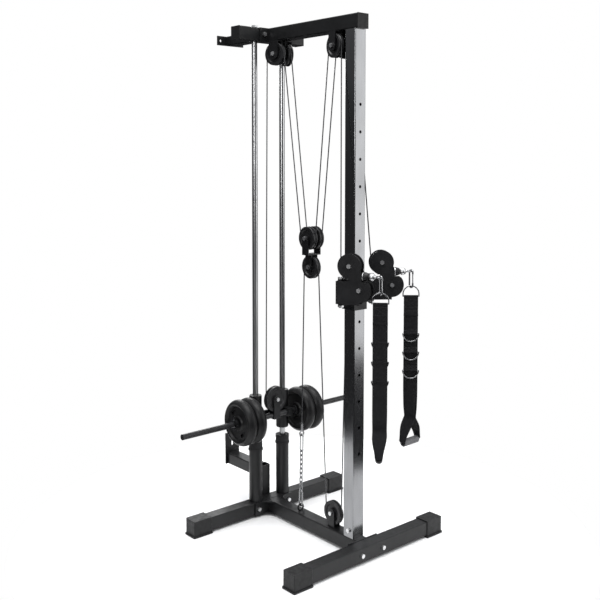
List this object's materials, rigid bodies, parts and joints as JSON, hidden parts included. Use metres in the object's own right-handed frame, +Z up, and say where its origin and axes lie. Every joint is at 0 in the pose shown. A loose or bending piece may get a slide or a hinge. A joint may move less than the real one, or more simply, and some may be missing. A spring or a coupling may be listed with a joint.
{
  "type": "lat pulldown machine",
  "caption": "Plate-loaded dual cable column: floor frame, height-adjustable trolley with two swivelling pulleys and strap handles, weight carriage on guide rods.",
  "frame": {"origin": "centre of the bounding box at floor level", "axes": "+Z up, -Y the side where the user stands, +X to the user's right when facing +Y"},
  "size_m": [1.01, 1.0608, 2.221],
  "materials": {
    "frame_black": "satin black powder coat",
    "bracket_black": "satin black powder coat",
    "housing_grey": "satin dark grey powder coat",
    "plated_upright": "bright zinc and nickel plate, smooth",
    "chromed_rod": "hard chrome, ground",
    "bar_black": "gloss black lacquer",
    "cap_rubber": "moulded black rubber",
    "bumper_rubber": "ribbed black rubber",
    "cable_stop": "black rubber with a steel ferrule",
    "steel_cable": "stranded steel, clear coated",
    "sheave_nylon": "black moulded nylon",
    "liner_plastic": "black slide plastic",
    "weight_plate": "black vinyl shell, cement filled",
    "collar_chrome": "chromed",
    "pin_knob": "black knob on a zinc pin",
    "webbing": "black nylon webbing",
    "ring_steel": "zinc plated wire",
    "chain_zinc": "zinc plated",
    "zinc_hardware": "zinc plated"
  },
  "bodies": {
    "root": {"front_base_beam": "frame_black", "rear_base_beam": "frame_black", "base_spine": "frame_black", "end_caps": "cap_rubber", "upright": "plated_upright", "top_beam": "frame_black", "rear_crossbeam": "frame_black", "upper_wall_arm": "frame_black", "lower_wall_arm": "frame_black", "guide_posts": "frame_black", "rubber_bumpers": "bumper_rubber", "guide_rods": "chromed_rod", "pulley_brackets": "bracket_black", "frame_fasteners": "zinc_hardware", "anchor_chain": "chain_zinc", "weight_cable_runs": "steel_cable", "block_cable_runs": "steel_cable", "trolley_cable_runs": "steel_cable", "fixed_cable_wraps": "steel_cable"},
    "block": {"block_frame": "bracket_black", "block_fasteners": "zinc_hardware", "block_cable_wraps": "steel_cable"},
    "carriage": {"weight_carriage": "frame_black", "carriage_bushes": "liner_plastic", "loading_bar": "bar_black", "bar_collars": "collar_chrome", "weight_plates": "weight_plate", "carriage_axle": "zinc_hardware", "weight_cable_wrap": "steel_cable"},
    "trolley": {"trolley_sleeve": "bracket_black", "trolley_liners": "liner_plastic", "pivot_bolts": "zinc_hardware"},
    "pin": {"pop_pin": "pin_knob"},
    "left_swivel": {"left_swivel_housing": "housing_grey", "left_swivel_axles": "zinc_hardware", "left_swivel_cable": "steel_cable"},
    "left_stop": {"left_cable_stop": "cable_stop"},
    "left_hook": {"left_carabiner": "ring_steel"},
    "left_handle": {"left_strap": "webbing", "left_strap_rings": "ring_steel"},
    "left_upper_swivel_sheave": {"left_swivel_upper_sheave": "sheave_nylon"},
    "left_lower_swivel_sheave": {"left_swivel_lower_sheave": "sheave_nylon"},
    "right_swivel": {"right_swivel_housing": "housing_grey", "right_swivel_axles": "zinc_hardware", "right_swivel_cable": "steel_cable"},
    "right_stop": {"right_cable_stop": "cable_stop"},
    "right_hook": {"right_carabiner": "ring_steel"},
    "right_handle": {"right_strap": "webbing", "right_strap_rings": "ring_steel"},
    "right_upper_swivel_sheave": {"right_swivel_upper_sheave": "sheave_nylon"},
    "right_lower_swivel_sheave": {"right_swivel_lower_sheave": "sheave_nylon"},
    "left_front_sheave": {"left_front_top_sheave": "sheave_nylon"},
    "left_rear_sheave": {"left_rear_top_sheave": "sheave_nylon"},
    "left_block_wheel": {"left_block_sheave": "sheave_nylon"},
    "right_front_sheave": {"right_front_top_sheave": "sheave_nylon"},
    "right_rear_sheave": {"right_rear_top_sheave": "sheave_nylon"},
    "right_block_wheel": {"right_block_sheave": "sheave_nylon"},
    "lower_block_wheel": {"lower_block_sheave": "sheave_nylon"},
    "low_wheel": {"low_sheave": "sheave_nylon"},
    "carriage_wheel": {"carriage_sheave": "sheave_nylon"}
  },
  "joints": [
    {"name": "weight_lift", "type": "slide", "parent": "root", "child": "carriage", "axis": [0, 0, 1], "range_m": [0, 1.35], "deforming": ["weight_cable_runs"]},
    {"name": "trolley_slide", "type": "slide", "parent": "root", "child": "trolley", "axis": [0, 0, 1], "range_m": [-0.33, 0.77], "deforming": ["trolley_cable_runs"]},
    {"name": "block_slide", "type": "slide", "parent": "root", "child": "block", "axis": [0, 0, 1], "range_m": [-0.385, 0.165], "deforming": ["block_cable_runs"]},
    {"name": "pop_pin_push", "type": "slide", "parent": "trolley", "child": "pin", "axis": [0, 1, 0], "range_m": [0, 0.012]},
    {"name": "left_swivel_turn", "type": "hinge", "parent": "trolley", "child": "left_swivel", "pos_m": [-0.086, -0.33164, 1.1], "axis": [0, 0, 1], "range_deg": [-105, 5]},
    {"name": "left_pull", "type": "slide", "parent": "left_swivel", "child": "left_stop", "axis": [0.4226, -0.9063, 0], "range_m": [0, 1.35]},
    {"name": "left_hook_swing", "type": "hinge", "parent": "left_stop", "child": "left_hook", "pos_m": [-0.02043, -0.48827, 1.166], "axis": [-0.9744, 0.225, 0], "range_deg": [-6, 60]},
    {"name": "left_handle_swing", "type": "hinge", "parent": "left_hook", "child": "left_handle", "pos_m": [-0.02043, -0.48827, 1.0999], "axis": [-0.225, -0.9744, 0], "range_deg": [-8, 30]},
    {"name": "left_upper_swivel_sheave_spin", "type": "hinge", "parent": "left_swivel", "child": "left_upper_swivel_sheave", "pos_m": [-0.06825, -0.36971, 1.206], "axis": [0.9063, 0.4226, 0], "continuous": true},
    {"name": "left_lower_swivel_sheave_spin", "type": "hinge", "parent": "left_swivel", "child": "left_lower_swivel_sheave", "pos_m": [-0.0505, -0.40777, 1.112], "axis": [0.9063, 0.4226, 0], "continuous": true},
    {"name": "right_swivel_turn", "type": "hinge", "parent": "trolley", "child": "right_swivel", "pos_m": [0.086, -0.33164, 1.1], "axis": [0, 0, 1], "range_deg": [-44, 26]},
    {"name": "right_pull", "type": "slide", "parent": "right_swivel", "child": "right_stop", "axis": [0.809, -0.5878, 0], "range_m": [0, 1.35]},
    {"name": "right_hook_swing", "type": "hinge", "parent": "right_stop", "child": "right_hook", "pos_m": [0.21472, -0.43717, 1.166], "axis": [-0.9903, 0.1392, 0], "range_deg": [-6, 60]},
    {"name": "right_handle_swing", "type": "hinge", "parent": "right_hook", "child": "right_handle", "pos_m": [0.21472, -0.43717, 1.0999], "axis": [-0.1392, -0.9903, 0], "range_deg": [-8, 30]},
    {"name": "right_upper_swivel_sheave_spin", "type": "hinge", "parent": "right_swivel", "child": "right_upper_swivel_sheave", "pos_m": [0.11998, -0.35633, 1.206], "axis": [0.5878, 0.809, 0], "continuous": true},
    {"name": "right_lower_swivel_sheave_spin", "type": "hinge", "parent": "right_swivel", "child": "right_lower_swivel_sheave", "pos_m": [0.15396, -0.38101, 1.112], "axis": [0.5878, 0.809, 0], "continuous": true},
    {"name": "left_front_sheave_spin", "type": "hinge", "parent": "root", "child": "left_front_sheave", "pos_m": [-0.029, -0.23314, 2.092], "axis": [0.986, -0.1668, 0], "continuous": true},
    {"name": "left_rear_sheave_spin", "type": "hinge", "parent": "root", "child": "left_rear_sheave", "pos_m": [-0.0316, 0.14836, 2.092], "axis": [0.9703, 0.2419, 0], "continuous": true},
    {"name": "left_block_wheel_spin", "type": "hinge", "parent": "block", "child": "left_block_wheel", "pos_m": [-0.0184, -0.05564, 1.292], "axis": [1, 0, 0], "continuous": true},
    {"name": "right_front_sheave_spin", "type": "hinge", "parent": "root", "child": "right_front_sheave", "pos_m": [0.029, -0.23314, 2.092], "axis": [0.986, 0.1668, 0], "continuous": true},
    {"name": "right_rear_sheave_spin", "type": "hinge", "parent": "root", "child": "right_rear_sheave", "pos_m": [0.0316, 0.14836, 2.092], "axis": [0.9703, -0.2419, 0], "continuous": true},
    {"name": "right_block_wheel_spin", "type": "hinge", "parent": "block", "child": "right_block_wheel", "pos_m": [0.0184, -0.05564, 1.292], "axis": [1, 0, 0], "continuous": true},
    {"name": "lower_block_wheel_spin", "type": "hinge", "parent": "block", "child": "lower_block_wheel", "pos_m": [0, -0.05564, 1.167], "axis": [1, 0, 0], "range_deg": [-210, 485]},
    {"name": "low_wheel_spin", "type": "hinge", "parent": "root", "child": "low_wheel", "pos_m": [0, -0.20164, 0.128], "axis": [1, 0, 0], "continuous": true},
    {"name": "carriage_wheel_spin", "type": "hinge", "parent": "carriage", "child": "carriage_wheel", "pos_m": [0, 0.19336, 0.536], "axis": [0, 1, 0], "continuous": true}
  ],
  "couplings": [
    {"joint": "block_slide", "follows": "trolley_slide", "ratio": -0.5},
    {"joint": "left_pull", "follows": "weight_lift", "ratio": 1},
    {"joint": "left_upper_swivel_sheave_spin", "follows": "weight_lift", "rad_per_m": -25},
    {"joint": "right_pull", "follows": "weight_lift", "ratio": 1},
    {"joint": "right_upper_swivel_sheave_spin", "follows": "weight_lift", "rad_per_m": -25},
    {"joint": "left_front_sheave_spin", "follows": "weight_lift", "rad_per_m": 21.739},
    {"joint": "left_rear_sheave_spin", "follows": "weight_lift", "rad_per_m": 21.739},
    {"joint": "left_block_wheel_spin", "follows": "weight_lift", "rad_per_m": -21.739},
    {"joint": "right_front_sheave_spin", "follows": "weight_lift", "rad_per_m": 21.739},
    {"joint": "right_rear_sheave_spin", "follows": "weight_lift", "rad_per_m": 21.739},
    {"joint": "right_block_wheel_spin", "follows": "weight_lift", "rad_per_m": -21.739},
    {"joint": "lower_block_wheel_spin", "follows": "trolley_slide", "rad_per_m": 10.87},
    {"joint": "low_wheel_spin", "follows": "trolley_slide", "rad_per_m": -21.739}
  ]
}
